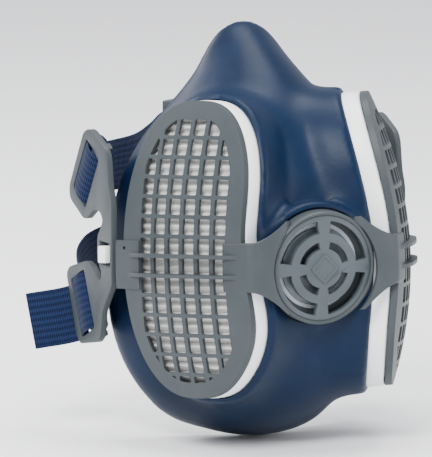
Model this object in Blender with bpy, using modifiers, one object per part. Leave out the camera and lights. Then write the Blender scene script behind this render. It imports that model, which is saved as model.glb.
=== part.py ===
"""Half-mask respirator with two side filters, an exhalation valve and an elastic harness.

Frame: metres, +Z up, the wearer faces -Y, X is lateral. The origin is the middle of the face seal.
left_ nodes are at +X (the wearer's left), right_ nodes are their mirror images at -X.
"""

import math

import bmesh
import bpy
from mathutils import Matrix, Vector

MM = 0.001

# Filter, in its own frame: u to the rear, v up, w outward from the grille's outer face.
FILTER_CENTRE = Vector((0.0418, -0.0410, 0.0057))
FILTER_TURN = math.radians(61)
FILTER_LEAN = math.radians(5.3)
FILTER_RAKE = math.radians(3.5)
FILTER_BOW_RADIUS = 0.126
FILTER_CROWN_RADIUS = 0.120
FILTER_HALF_WIDTH = 0.0250
FILTER_HALF_HEIGHT = 0.049
FILTER_SQUARENESS = 2.5
FILTER_WAIST = 0.0022
FILTER_LOBE = 0.0030
BOW_CELL_HEIGHT = 0.0115
BOW_CELL_WIDTH = 0.0065

GRILLE_THICKNESS = 0.0024
GRILLE_COLUMN_PITCH = 0.00596
GRILLE_ROW_PITCH = 0.0065
GRILLE_COLUMN_BAR = 0.0019
GRILLE_ROW_BAR = 0.0016
GRILLE_RIM = 0.0052
ARM_LEVEL = -0.0053
RIB_HEIGHT = 0.0023
RIB_THICKNESS = 0.0015

CASING_TOP = -0.0028
CASING_BOTTOM = -0.0110
CASING_WALL = 0.0015
CASING_FLOOR = 0.0012
CASING_LEDGE = 0.0055
GASKET_THICKNESS = 0.0012
LATCH_FOOT = Vector((0.0253, -0.0022, -0.0087))

# Exhalation valve, in its own frame: x lateral, y up, z outward from the cover's front face.
VALVE_CENTRE = Vector((0.0, -0.0620, 0.0))
VALVE_PITCH = math.radians(3)
COVER_RADIUS = 0.0171
RING_INNER = 0.0175
RING_OUTER = 0.0189
RING_GAP = 0.0003
COVER_HINGE = Vector((0.0182, -0.0624, 0.0))
FLAP_LEVEL = -0.0040
FLAP_THICKNESS = 0.0006
VALVE_PORT_RADIUS = 0.0140
INHALE_PORT_RADIUS = 0.0120

# Strap wing, in its own frame: p to the rear along the plate, z up, n outward.
WING_FOLD = Vector((0.0530, -0.0134, 0.0))
WING_DIRECTION = Vector((0.0, 1.0, 0.0))
WING_THICKNESS = 0.0020
SLOT_LENGTH = 0.0205
SLOT_WIDTH = 0.0098
BAR_RADIUS = 0.0011
BAR_DEPTH = 0.0040

STRAP_WIDTH = 0.0172
STRAP_THICKNESS = 0.0012
FACEPIECE_THICKNESS = 0.0022


def clear_scene():
    """Remove whatever the scene holds."""
    for obj in list(bpy.data.objects):
        bpy.data.objects.remove(obj, do_unlink=True)


def collection(name, hidden=False):
    """A collection of this name, linked to the scene."""
    made = bpy.data.collections.new(name)
    bpy.context.scene.collection.children.link(made)
    made.hide_render = hidden
    return made


def material(name, colour, roughness, metallic=0.0):
    """A Principled material."""
    made = bpy.data.materials.new(name)
    made.use_nodes = True
    shader = made.node_tree.nodes["Principled BSDF"]
    shader.inputs["Base Color"].default_value = (*colour, 1.0)
    shader.inputs["Roughness"].default_value = roughness
    shader.inputs["Metallic"].default_value = metallic
    return made


clear_scene()
PARTS = collection("respirator")
CUTTERS = collection("cutters", hidden=True)
NAVY_RUBBER = material("navy_rubber", (0.016, 0.055, 0.140), 0.48)
GRAY_PLASTIC = material("gray_plastic", (0.175, 0.205, 0.230), 0.50)
WHITE_PLASTIC = material("white_plastic", (0.82, 0.83, 0.85), 0.42)
PALE_PLASTIC = material("pale_plastic", (0.45, 0.50, 0.55), 0.45)
PLEATED_MEDIA = material("pleated_media", (0.72, 0.70, 0.66), 0.90)
SILICONE = material("silicone", (0.30, 0.36, 0.42), 0.35)
GASKET_RUBBER = material("gasket_rubber", (0.03, 0.03, 0.035), 0.60)
STRAP_FABRIC = material("strap_fabric", (0.020, 0.045, 0.150), 0.85)


# Frames ---------------------------------------------------------------------------------------------


def turned(a, b, angle):
    """Two perpendicular directions after a turn from the first towards the second."""
    c, s = math.cos(angle), math.sin(angle)
    return a * c + b * s, b * c - a * s


def filter_matrix():
    """From the left filter's frame (u, v, w) to the world."""
    u = Vector((math.cos(FILTER_TURN), math.sin(FILTER_TURN), 0))
    n = Vector((math.sin(FILTER_TURN), -math.cos(FILTER_TURN), 0))
    v = Vector((0, 0, 1))
    v, n = turned(v, n, -FILTER_LEAN)
    v, u = turned(v, u, FILTER_RAKE)
    return Matrix.Translation(FILTER_CENTRE) @ Matrix((u, v, n)).transposed().to_4x4()


def valve_matrix():
    """From the exhalation valve's frame to the world."""
    out = Vector((0, -math.cos(VALVE_PITCH), -math.sin(VALVE_PITCH)))
    side = Vector((1, 0, 0))
    return Matrix.Translation(VALVE_CENTRE) @ Matrix((side, out.cross(side), out)).transposed().to_4x4()


def wing_matrix():
    """From the left wing's frame (p, z, n) to the world."""
    up = Vector((0, 0, 1))
    out = WING_DIRECTION.cross(up)
    return Matrix.Translation(WING_FOLD) @ Matrix((WING_DIRECTION, up, out)).transposed().to_4x4()


FILTER = filter_matrix()
VALVE = valve_matrix()
WING = wing_matrix()


# Mesh helpers ---------------------------------------------------------------------------------------


def link(name, mesh, surface, home=None):
    """An object of this mesh in a collection: a part, or a cutter if it has no material."""
    obj = bpy.data.objects.new(name, mesh)
    (home or PARTS).objects.link(obj)
    if surface:
        mesh.materials.clear()
        mesh.materials.append(surface)
        mesh.shade_smooth()
        mesh.set_sharp_from_angle(angle=math.radians(32))
    return obj


def mesh_of(bm, name):
    """The bmesh as a mesh with its faces pointing out."""
    bmesh.ops.recalc_face_normals(bm, faces=bm.faces)
    mesh = bpy.data.meshes.new(name)
    bm.to_mesh(mesh)
    bm.free()
    return mesh


def cutter(name, bm):
    """A hidden object that cuts others."""
    obj = link(name, mesh_of(bm, name), None, CUTTERS)
    obj.hide_render = True
    obj.display_type = "WIRE"
    return obj


def prism(outline, low, high, bm=None):
    """A closed prism of a flat outline, from low to high along its third axis."""
    bm = bm or bmesh.new()
    base = bm.faces.new([bm.verts.new((x, y, low)) for x, y in outline])
    grown = bmesh.ops.extrude_face_region(bm, geom=[base])["geom"]
    top = [item for item in grown if isinstance(item, bmesh.types.BMVert)]
    bmesh.ops.translate(bm, verts=top, vec=(0, 0, high - low))
    return bm


def loft(sections, bm=None):
    """A closed solid through rings of points of equal count."""
    bm = bm or bmesh.new()
    rings = [[bm.verts.new(point) for point in section] for section in sections]
    for lower, upper in zip(rings, rings[1:]):
        for i in range(len(lower)):
            j = (i + 1) % len(lower)
            bm.faces.new((lower[i], lower[j], upper[j], upper[i]))
    bm.faces.new(rings[0][::-1])
    bm.faces.new(rings[-1])
    return bm


def box(low, high, bm=None):
    """An axis-aligned box between two corners."""
    bm = bm or bmesh.new()
    size = [b - a for a, b in zip(low, high)]
    centre = [(a + b) / 2 for a, b in zip(low, high)]
    matrix = Matrix.Translation(centre) @ Matrix.Diagonal((*size, 1))
    bmesh.ops.create_cube(bm, size=1, matrix=matrix)
    return bm


def circle(radius, count=40):
    """Points round a circle."""
    turns = [2 * math.pi * k / count for k in range(count)]
    return [(radius * math.cos(turn), radius * math.sin(turn)) for turn in turns]


def sliced(bm, normal, levels):
    """The mesh cut along planes of this normal, so that it can be bowed."""
    for level in levels:
        geom = bm.verts[:] + bm.edges[:] + bm.faces[:]
        bmesh.ops.bisect_plane(bm, geom=geom, dist=1e-6, plane_co=Vector(normal) * level, plane_no=normal)
    return bm


def boolean(obj, other, operation="DIFFERENCE"):
    """Add a Boolean modifier."""
    modifier = obj.modifiers.new(operation.lower(), "BOOLEAN")
    modifier.operation = operation
    modifier.solver = "EXACT"
    modifier.object = other


def freeze(obj):
    """Apply an object's modifiers to its mesh."""
    graph = bpy.context.evaluated_depsgraph_get()
    graph.update()
    mesh = bpy.data.meshes.new_from_object(obj.evaluated_get(graph))
    obj.modifiers.clear()
    obj.data = mesh
    return mesh


def bow(mesh):
    """Bend a flat filter piece along its height and, more gently, across its width."""
    for vertex in mesh.vertices:
        vertex.co.z -= vertex.co.y**2 / (2 * FILTER_BOW_RADIUS) + vertex.co.x**2 / (2 * FILTER_CROWN_RADIUS)


def place(obj, matrix):
    """Carry an object's mesh to the world."""
    obj.data.transform(matrix)
    obj.data.update()


def hang(obj, point):
    """Put an object's origin on a point of its joint's axis and leave its mesh where it is."""
    obj.data.transform(Matrix.Translation(-point))
    obj.location = point


def pair(obj, name, pivot=Vector((0, 0, 0))):
    """Name a left piece, give it its pivot and add its mirror image on the right."""
    obj.name = f"left_{name}"
    mesh = obj.data.copy()
    mesh.transform(Matrix.Diagonal((-1, 1, 1, 1)))
    mesh.flip_normals()
    other = bpy.data.objects.new(f"right_{name}", mesh)
    PARTS.objects.link(other)
    hang(obj, pivot)
    hang(other, Vector((-pivot.x, pivot.y, pivot.z)))


# Filters --------------------------------------------------------------------------------------------


def filter_outline(grow=0.0, count=36):
    """The filter's rounded outline: a superellipse with a shallow waist and a lower lobe at its front."""
    points = []
    for step in range(count):
        turn = 2 * math.pi * step / count
        across, along = math.cos(turn), math.sin(turn)
        u = (FILTER_HALF_WIDTH + grow) * math.copysign(abs(across) ** (2 / FILTER_SQUARENESS), across)
        v = (FILTER_HALF_HEIGHT + grow) * math.copysign(abs(along) ** (2 / FILTER_SQUARENESS), along)
        if u < 0:
            share = -u / FILTER_HALF_WIDTH
            waist = FILTER_WAIST * math.exp(-(((v - 0.004) / 0.018) ** 2))
            lobe = FILTER_LOBE * math.exp(-(((v + 0.030) / 0.016) ** 2))
            u += share * (waist - lobe)
        points.append((u, v))
    return points


def gridded(bm):
    """The mesh of a filter piece cut into cells small enough to bow."""
    rows = [BOW_CELL_HEIGHT * k for k in range(-4, 5)]
    columns = [BOW_CELL_WIDTH * k for k in range(-3, 4)]
    return sliced(sliced(bm, (0, 1, 0), rows), (1, 0, 0), columns)


def grille_bar_levels():
    """The middle of each cross bar of the grille."""
    levels = [ARM_LEVEL + GRILLE_ROW_PITCH * (k - 0.5) for k in range(-7, 9)]
    return [level for level in levels if abs(level) < FILTER_HALF_HEIGHT]


def grille_openings():
    """The grille's openings, clipped by its inner rim, as one cutter."""
    cells = bmesh.new()
    half_u = (GRILLE_COLUMN_PITCH - GRILLE_COLUMN_BAR) / 2
    half_v = (GRILLE_ROW_PITCH - GRILLE_ROW_BAR) / 2
    for column in range(6):
        for row in range(-7, 8):
            u = GRILLE_COLUMN_PITCH * (column - 2.5)
            v = ARM_LEVEL + GRILLE_ROW_PITCH * row
            box((u - half_u, v - half_v, -0.01), (u + half_u, v + half_v, 0.01), cells)
    openings = cutter("grille_openings", cells)
    field = cutter("grille_field", prism(filter_outline(-GRILLE_RIM), -0.008, 0.008))
    boolean(openings, field, "INTERSECT")
    freeze(openings)
    return openings


def arm():
    """The flexible arm from the grille's front edge to the hinge line, flared at the ring."""
    stations = (
        (-0.0165, 0.0004, 0.0020, 0.0082),
        (-0.0222, 0.0003, 0.0020, 0.0082),
        (-0.0258, -0.0004, 0.0022, 0.0084),
        (-0.0280, -0.0030, 0.0028, 0.0094),
        (-0.0302, -0.0058, 0.0030, 0.0118),
    )
    sections = []
    for u, top, depth, half in stations:
        low, high = ARM_LEVEL - half, ARM_LEVEL + half
        sections.append([(u, low, top - depth), (u, high, top - depth), (u, high, top), (u, low, top)])
    return loft(sections)


def rib(level):
    """A fin across the grille with sloping ends."""
    profile = (
        (-0.0215, -0.0010),
        (0.0205, -0.0010),
        (0.0205, 0.0004),
        (0.0165, RIB_HEIGHT),
        (-0.0180, RIB_HEIGHT),
        (-0.0215, 0.0004),
    )
    sections = [[(u, level + side * RIB_THICKNESS / 2, w) for u, w in profile] for side in (-1, 1)]
    return loft(sections)


def filter_grilles():
    """The outer grilles, each with its arm, two fins and the plate that carries the wing."""
    plate = prism(filter_outline(), -GRILLE_THICKNESS, 0)
    grille = link("filter_grille", mesh_of(plate, "filter_grille"), GRAY_PLASTIC)
    boolean(grille, grille_openings())
    additions = [arm(), rib(ARM_LEVEL - GRILLE_ROW_PITCH / 2), rib(ARM_LEVEL + GRILLE_ROW_PITCH / 2)]
    plate_low = (0.0175, ARM_LEVEL - 0.0080, -0.0016)
    plate_high = (0.0285, ARM_LEVEL + 0.0080, 0.0005)
    additions.append(box(plate_low, plate_high))
    for index, shape in enumerate(additions):
        boolean(grille, cutter(f"grille_addition_{index}", shape), "UNION")
    mesh = freeze(grille)
    bm = bmesh.new()
    bm.from_mesh(mesh)
    sliced(bm, (0, 1, 0), grille_bar_levels())
    bmesh.ops.dissolve_degenerate(bm, dist=1e-6, edges=bm.edges)
    bm.to_mesh(mesh)
    bm.free()
    bow(mesh)
    place(grille, FILTER)
    clearance = cutter("ring_clearance", prism(circle(RING_OUTER + RING_GAP, 48), -0.02, 0.01))
    place(clearance, VALVE)
    boolean(grille, clearance)
    freeze(grille)
    pair(grille, "filter_grille", COVER_HINGE)


def ring_solid(name, outer, inner, low, high, surface):
    """A bowed ring between two filter outlines."""
    obj = link(name, mesh_of(gridded(prism(filter_outline(outer), low, high)), name), surface)
    hole = gridded(prism(filter_outline(inner), low - 0.002, high + 0.002))
    boolean(obj, cutter(f"{name}_hole", hole))
    bow(freeze(obj))
    return obj


def filter_casings():
    """White trays that hold the media: a wall and a floor with a ledge."""
    bm = gridded(prism(filter_outline(), CASING_BOTTOM, CASING_TOP))
    casing = link("filter_casing", mesh_of(bm, "filter_casing"), WHITE_PLASTIC)
    pocket = prism(filter_outline(-CASING_WALL), CASING_BOTTOM + CASING_FLOOR, 0.002)
    boolean(casing, cutter("casing_pocket", gridded(pocket)))
    outlet = prism(filter_outline(-CASING_LEDGE), CASING_BOTTOM - 0.002, 0.0)
    boolean(casing, cutter("casing_outlet", gridded(outlet)))
    bow(freeze(casing))
    place(casing, FILTER)
    pair(casing, "filter_casing")


def filter_media():
    """Pleated packs, plain here, that fill the casings."""
    low, high = CASING_BOTTOM + CASING_FLOOR + 0.0003, CASING_TOP - 0.0004
    bm = gridded(prism(filter_outline(-CASING_WALL - 0.0004), low, high))
    media = link("filter_media", mesh_of(bm, "filter_media"), PLEATED_MEDIA)
    bow(media.data)
    place(media, FILTER)
    pair(media, "filter_media")


def filter_gaskets():
    """Face seals between the casings and the facepiece."""
    high = CASING_BOTTOM - 0.0003
    gasket = ring_solid("filter_gasket", -0.0006, -0.0042, high - GASKET_THICKNESS, high, GASKET_RUBBER)
    place(gasket, FILTER)
    pair(gasket, "filter_gasket")


def filter_latches():
    """Latch tabs that stand out of the casings' rear and hook through the wings."""
    profile = (
        (0.0253, -0.0098),
        (0.0362, -0.0098),
        (0.0362, -0.0036),
        (0.0350, -0.0022),
        (0.0322, -0.0022),
        (0.0322, -0.0076),
        (0.0253, -0.0076),
    )
    low, high = -0.0050, 0.0006
    hook = loft([[(u, v, w) for u, w in profile] for v in (low, high)])
    latch = link("filter_latch", mesh_of(hook, "filter_latch"), WHITE_PLASTIC)
    place(latch, FILTER)
    pair(latch, "filter_latch", FILTER @ LATCH_FOOT)


# Strap wings ----------------------------------------------------------------------------------------

WING_OUTLINE = (
    (0, 18.2), (2.2, 23.5), (3.6, 33.2), (5.6, 36.2), (15, 40.6), (18.5, 41.2), (22.6, 39.6), (29, 29),
    (34.2, 20), (33.6, 16.2), (23, 10.8), (20, 10.8), (13.4, 15), (9.4, 14.6), (7, 12), (9, 9),
    (11.6, 6), (11.4, -1.4), (8.4, -5.4), (8.6, -8), (10.8, -8.4), (15.6, -4.6), (20.4, -3.2), (34.4, -7),
    (36.6, -9.6), (28.4, -29.4), (25.4, -31.8), (11.6, -29.4), (8.8, -27), (7.6, -18.6), (0, -9),
)
UPPER_SLOT = Vector((20.6, 26.0)) * MM
UPPER_SLOT_TILT = math.radians(32)
LOWER_SLOT = Vector((23.4, -18.0)) * MM
LOWER_SLOT_TILT = math.radians(-25)


def slot_point(centre, tilt, across, along):
    """A point of a wing slot: across it to the rear, along it upward."""
    c, s = math.cos(tilt), math.sin(tilt)
    return centre + Vector((c * across - s * along, s * across + c * along))


def slot_prism(centre, tilt, half_across, half_along, low, high):
    """A rectangular prism lying along a wing slot."""
    corners = ((-1, -1), (1, -1), (1, 1), (-1, 1))
    points = [slot_point(centre, tilt, a * half_across, b * half_along) for a, b in corners]
    return prism([tuple(point) for point in points], low, high)


def slot_bar(centre, tilt):
    """The inner cross bar that a strap turns round, with a post at each end."""
    bm = bmesh.new()
    half = SLOT_LENGTH / 2 + 0.0006
    ends = [slot_point(centre, tilt, -0.0010, side * half) for side in (-1, 1)]
    direction = Vector((*(ends[1] - ends[0]), 0)).normalized()
    turn = direction.to_track_quat("Z", "Y").to_matrix().to_4x4()
    middle = Vector((*((ends[0] + ends[1]) / 2), -BAR_DEPTH))
    bmesh.ops.create_cone(
        bm,
        cap_ends=True,
        segments=12,
        radius1=BAR_RADIUS,
        radius2=BAR_RADIUS,
        depth=2 * half + 0.002,
        matrix=Matrix.Translation(middle) @ turn,
    )
    return bm


def strap_wings():
    """Plates behind the grilles with a strap slot at each end and a window for the latch tab."""
    outline = [(p * MM, z * MM) for p, z in WING_OUTLINE]
    half = WING_THICKNESS / 2
    wing = link("strap_wing", mesh_of(prism(outline, -half, half), "strap_wing"), GRAY_PLASTIC)
    slots = (("upper", UPPER_SLOT, UPPER_SLOT_TILT), ("lower", LOWER_SLOT, LOWER_SLOT_TILT))
    for name, centre, tilt in slots:
        slot = slot_prism(centre, tilt, SLOT_WIDTH / 2, SLOT_LENGTH / 2, -0.01, 0.01)
        boolean(wing, cutter(f"{name}_slot", slot))
        for end in (-1, 1):
            post_centre = slot_point(centre, tilt, -0.0010, end * (SLOT_LENGTH / 2 + 0.0010))
            post = slot_prism(post_centre, tilt, 0.0014, 0.0008, -BAR_DEPTH - BAR_RADIUS, 0.0)
            boolean(wing, cutter(f"{name}_post_{end}", post), "UNION")
        boolean(wing, cutter(f"{name}_bar", slot_bar(centre, tilt)), "UNION")
    window = box((0.0012, -0.0029, -0.01), (0.0094, 0.0049, 0.01))
    boolean(wing, cutter("latch_window", window))
    freeze(wing)
    place(wing, WING)
    pair(wing, "strap_wing", COVER_HINGE)


# Facepiece ------------------------------------------------------------------------------------------

# Rows run from the nose to the chin, and columns from the middle to the edge that meets the face.
FACE_CAGE = (
    ((0, 1, 77.5), (4, 1, 76.8), (7.5, 1, 75), (10.5, 1, 72.5), (13, 0.5, 69), (14.8, 0.5, 65.5)),
    ((0, -12, 69.5), (5.5, -10, 68.5), (10, -6.5, 66.5), (13.5, -3, 64), (16.5, -1, 61.5), (18.8, 0.5, 58)),
    ((0, -27, 59), (7, -26, 58), (14.5, -22, 55.5), (21.5, -12, 53.5), (25, -4, 52), (26.8, 2.5, 49.8)),
    ((0, -40, 44), (8, -39, 43), (17.5, -36, 41), (32.6, -9.7, 40), (35.5, -1, 40), (35.5, 6, 39)),
    ((0, -48.5, 24), (10, -47.5, 24), (17.5, -46.2, 24), (38.5, -9.2, 25), (41.5, 0.5, 26), (42, 8, 27)),
    ((0, -54, 10), (12, -53.5, 10), (18, -51, 9), (41, -9.2, 10), (45, 1.5, 11), (46, 9.5, 12)),
    ((0, -54.8, -9), (12, -54.3, -9), (18.5, -52, -9), (41.6, -9.7, -8), (46, 1, -7), (47.5, 9.5, -6)),
    ((0, -53.8, -27), (12, -53, -27), (18, -50, -27), (40, -9.7, -26), (46, 0, -24), (47, 9.5, -22)),
    ((0, -48, -43), (10, -46.5, -43), (17.5, -42.5, -43), (35, -11.7, -42), (42, -1.5, -40), (43, 7, -38)),
    ((0, -36, -56), (9, -35, -55.5), (18, -30, -54), (28, -12, -52), (34.5, -2.5, -51), (36, 3.5, -49.5)),
    ((0, -18, -62.5), (8, -17.5, -62), (15, -15, -61), (21, -9, -59.5), (26, -3, -58.5), (28.5, 1.5, -57)),
    ((0, -4, -64), (5, -4, -63.5), (10, -3, -62.5), (14, -2, -61), (17.5, -1, -60), (20.5, -0.5, -58.5)),
)


def face_cage():
    """The left half of the facepiece's cage, open at the middle, with its lip turned in."""
    bm = bmesh.new()
    grid = [[bm.verts.new(Vector(point) * MM) for point in row] for row in FACE_CAGE]
    for upper, lower in zip(grid, grid[1:]):
        for k in range(len(upper) - 1):
            bm.faces.new((upper[k], lower[k], lower[k + 1], upper[k + 1]))
    rim = grid[0][:] + [row[-1] for row in grid[1:]] + grid[-1][-2::-1]
    for inward, forward in ((0.0045, -0.0022), (0.0060, 0.0030)):
        turned = []
        for vertex in rim:
            radial = Vector((vertex.co.x, 0, vertex.co.z)).normalized()
            turned.append(bm.verts.new(vertex.co - radial * inward - Vector((0, forward, 0))))
        for k in range(len(rim) - 1):
            bm.faces.new((rim[k], rim[k + 1], turned[k + 1], turned[k]))
        rim = turned
    for vertex in bm.verts:
        if abs(vertex.co.x) < 1e-6:
            vertex.co.x = 0
    return bm


def facepiece():
    """The soft shell with its filter sockets and its three valve ports."""
    shell = link("facepiece", mesh_of(face_cage(), "facepiece"), NAVY_RUBBER)
    mirror = shell.modifiers.new("mirror", "MIRROR")
    mirror.use_clip = True
    mirror.merge_threshold = 0.0001
    smooth = shell.modifiers.new("smooth", "SUBSURF")
    smooth.levels = 1
    smooth.render_levels = 1
    wall = shell.modifiers.new("wall", "SOLIDIFY")
    wall.thickness = FACEPIECE_THICKNESS
    wall.offset = -1
    for side in (1, -1):
        mirrored = Matrix.Diagonal((side, 1, 1, 1))
        collar = ring_solid("socket", 0.0027, 0.0004, -0.0165, -0.0080, None)
        place(collar, mirrored @ FILTER)
        if side < 0:
            collar.data.flip_normals()
        move_to_cutters(collar, f"socket_{side}")
        boolean(shell, collar, "UNION")
        port = prism(circle(INHALE_PORT_RADIUS, 32), -0.035, -0.0085)
        port_cutter = cutter(f"inhale_port_{side}", port)
        place(port_cutter, mirrored @ FILTER)
        if side < 0:
            port_cutter.data.flip_normals()
        boolean(shell, port_cutter)
    front = cutter("valve_port", prism(circle(VALVE_PORT_RADIUS, 32), -0.02, 0.0))
    place(front, VALVE)
    boolean(shell, front)
    recess = cutter("valve_recess", prism(circle(RING_OUTER + 0.0010, 32), -0.0061, 0.004))
    place(recess, VALVE)
    boolean(shell, recess)
    freeze(shell)


def move_to_cutters(obj, name):
    """Turn a part into a hidden cutter."""
    obj.name = name
    PARTS.objects.unlink(obj)
    CUTTERS.objects.link(obj)
    obj.hide_render = True
    obj.display_type = "WIRE"


# Valves ---------------------------------------------------------------------------------------------


def arc_slot(inner, outer, start, end, bm, low, high, steps=6):
    """A curved slot between two radii and two angles."""
    turns = [start + (end - start) * k / steps for k in range(steps + 1)]
    outline = [(outer * math.cos(t), outer * math.sin(t)) for t in turns]
    outline += [(inner * math.cos(t), inner * math.sin(t)) for t in reversed(turns)]
    prism(outline, low, high, bm)


def slot_rings(name, rings, spoke, low, high):
    """Cutter with four arc slots in each ring, parted by spokes of constant width."""
    bm = bmesh.new()
    for inner, outer in rings:
        gap = math.asin(spoke / 2 / inner)
        for quarter in range(4):
            start = math.pi / 2 * quarter
            arc_slot(inner, outer, start + gap, start + math.pi / 2 - gap, bm, low, high)
    return cutter(name, bm)


def valve_cover():
    """The domed front cover with two rings of arc slots and a plain diamond on its hub."""
    disc = prism(circle(COVER_RADIUS, 48), -0.0020, 0)
    cover = link("valve_cover", mesh_of(disc, "valve_cover"), GRAY_PLASTIC)
    boolean(cover, slot_rings("cover_slots", ((0.0064, 0.0090), (0.0118, 0.0156)), 0.0036, -0.01, 0.01))
    badge = prism([(0.0050, 0), (0, 0.0050), (-0.0050, 0), (0, -0.0050)], -0.001, 0.0006)
    boolean(cover, cutter("cover_badge", badge), "UNION")
    for vertex in freeze(cover).vertices:
        vertex.co.z += 0.0014 * (1 - (vertex.co.xy.length / COVER_RADIUS) ** 2)
    place(cover, VALVE)


def harness_ring():
    """The centre ring of the harness, which holds the cover."""
    disc = prism(circle(RING_OUTER, 48), -0.0050, 0.0004)
    ring = link("harness_ring", mesh_of(disc, "harness_ring"), GRAY_PLASTIC)
    boolean(ring, cutter("ring_pocket", prism(circle(RING_INNER, 48), -0.0026, 0.002)))
    boolean(ring, cutter("ring_bore", prism(circle(0.0152, 40), -0.008, 0.002)))
    freeze(ring)
    place(ring, VALVE)


def exhalation_valve():
    """The seat pressed into the front port and the flap that closes it."""
    flange = prism(circle(0.0148, 40), -0.0058, -0.0046)
    seat = link("exhalation_seat", mesh_of(flange, "exhalation_seat"), PALE_PLASTIC)
    boolean(seat, cutter("seat_sleeve", prism(circle(0.0136, 40), -0.0120, -0.0050)), "UNION")
    boolean(seat, cutter("seat_relief", prism(circle(0.0124, 40), -0.0140, -0.0064)))
    boolean(seat, slot_rings("seat_slots", ((0.0034, 0.0112),), 0.0018, -0.02, 0.0))
    freeze(seat)
    place(seat, VALVE)
    disc = prism(circle(0.0130, 40), FLAP_LEVEL - FLAP_THICKNESS / 2, FLAP_LEVEL + FLAP_THICKNESS / 2)
    flap = link("exhalation_flap", mesh_of(disc, "exhalation_flap"), SILICONE)
    place(flap, VALVE)
    hang(flap, VALVE @ Vector((0, 0, FLAP_LEVEL)))


def inhalation_valves():
    """The seats in the filter sockets' ports and the flaps on their inner side."""
    deep = -0.0205
    flange = prism(circle(0.0140, 32), -0.0146, -0.0134)
    seat = link("inhalation_seat", mesh_of(flange, "inhalation_seat"), PALE_PLASTIC)
    boolean(seat, cutter("inhale_sleeve", prism(circle(0.0116, 32), deep, -0.0139)), "UNION")
    boolean(seat, slot_rings("inhale_slots", ((0.0030, 0.0098),), 0.0016, -0.03, 0.0))
    freeze(seat)
    place(seat, FILTER)
    pair(seat, "inhalation_seat")
    disc = prism(circle(0.0110, 32), deep - RING_GAP - FLAP_THICKNESS, deep - RING_GAP)
    flap = link("inhalation_flap", mesh_of(disc, "inhalation_flap"), SILICONE)
    place(flap, FILTER)
    pair(flap, "inhalation_flap", FILTER @ Vector((0, 0, deep - RING_GAP)))


# Harness --------------------------------------------------------------------------------------------


def smooth_route(points, steps=3):
    """Points on a Catmull-Rom curve through a route."""
    route = [points[0]] + list(points) + [points[-1]]
    found = []
    for a, b, c, d in zip(route, route[1:], route[2:], route[3:]):
        for k in range(steps):
            t = k / steps
            bend = (2 * a - 5 * b + 4 * c - d) * t**2 + (3 * b - a - 3 * c + d) * t**3
            found.append(0.5 * (2 * b + (c - a) * t + bend))
    return found + [points[-1]]


def ribbon(name, stations, thickness=STRAP_THICKNESS):
    """A strap of rectangular section along a route; each station is a point and a width direction."""
    points = smooth_route([station[0] for station in stations])
    widths = smooth_route([station[1] for station in stations])
    sections = []
    for k, point in enumerate(points):
        ahead = points[min(k + 1, len(points) - 1)] - points[max(k - 1, 0)]
        along = ahead.normalized()
        across = (widths[k] - along * widths[k].dot(along)).normalized() * STRAP_WIDTH / 2
        face = along.cross(across).normalized() * thickness / 2
        low, high = point - face, point + face
        sections.append([low - across, low + across, high + across, high - across])
    return link(name, mesh_of(loft(sections), name), STRAP_FABRIC)


def strap_turn(centre, tilt, tail):
    """Stations, in the left wing's frame, from a strap's free end round the cross bar and back out."""
    reach = BAR_RADIUS + STRAP_THICKNESS / 2 + 0.0005
    stations = [(across * MM, along * MM, n * MM - BAR_DEPTH + reach) for across, along, n in tail]
    stations.append((0.0, 0.0, -BAR_DEPTH + reach))
    for turn in (60, 90, 120):
        angle = math.radians(turn)
        stations.append((-0.0010 - reach * math.sin(angle), 0.0, -BAR_DEPTH + reach * math.cos(angle)))
    stations += [(0.0, 0.0, -BAR_DEPTH - reach), (0.0060, 0.0, -BAR_DEPTH - reach)]
    found = []
    for across, along, n in stations:
        flat = slot_point(centre, tilt, across, along)
        found.append(WING @ Vector((flat.x, flat.y, n)))
    upward = slot_point(Vector((0, 0)), tilt, 0, 1)
    width = WING.to_3x3() @ Vector((upward.x, upward.y, 0))
    return [(point, width) for point in found]


def on_side(stations, side):
    """Stations mirrored to the side of this sign."""
    flip = Matrix.Diagonal((side, 1, 1))
    return [(flip @ point, flip @ width) for point, width in stations]


def millimetres(rows):
    """Stations from rows of x, y, z and the width direction's x, y, z."""
    return [(Vector(row[:3]) * MM, Vector(row[3:])) for row in rows]


# Routes behind the mask: a point in millimetres and the strap's width direction there.
RIGHT_HEAD_ROUTE = (
    (-46, 26, 29, 0.1, -0.3, 1), (-39, 35, 28.5, 0.05, -0.1, 1), (-28, 43, 28.5, 0, 0, 1),
    (-16, 51, 28, 0, 0, 1), (-5, 63, 27.5, 0, 0, 1), (5, 76, 27, 0, 0, 1), (14, 84, 27, 0, 0, 1),
)
LEFT_HEAD_ROUTE = (
    (49, 29, 29.5, -0.1, -0.3, 1), (54, 43, 29, 0, -0.1, 1), (54, 59, 28.5, 0, 0, 1), (48, 75, 28, 0, 0, 1),
    (36, 86, 27.5, 0, 0, 1), (24, 88.6, 27, 0, 0, 1), (15.2, 84.8, 27, 0, 0, 1),
)
RIGHT_NECK_ROUTE = (
    (-47, 26, -13, -0.1, 0.2, 1), (-41, 35, -8, 0, 0.1, 1), (-30, 43, -5.5, 0, 0, 1),
    (-18, 52, -5.5, 0, 0, 1),
    (-7, 63.5, -6, 0, 0, 1), (-1.5, 70, -6, 0, 0, 1), (2.6, 72.7, -6, 0, 0, 1), (9.1, 76.6, -6, 0, 0, 1),
)
LEFT_NECK_ROUTE = (
    (49, 28, -13, 0.1, 0.2, 1), (53, 41, -9, 0, 0.1, 1), (53, 56, -7, 0, 0, 1), (48.5, 71, -6, 0, 0, 1),
    (41, 83.5, -6, 0, 0, 1), (33, 88.6, -6, 0, 0, 1), (26.6, 86.9, -6, 0, 0, 1), (20.1, 83.0, -6, 0, 0, 1),
)
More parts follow.
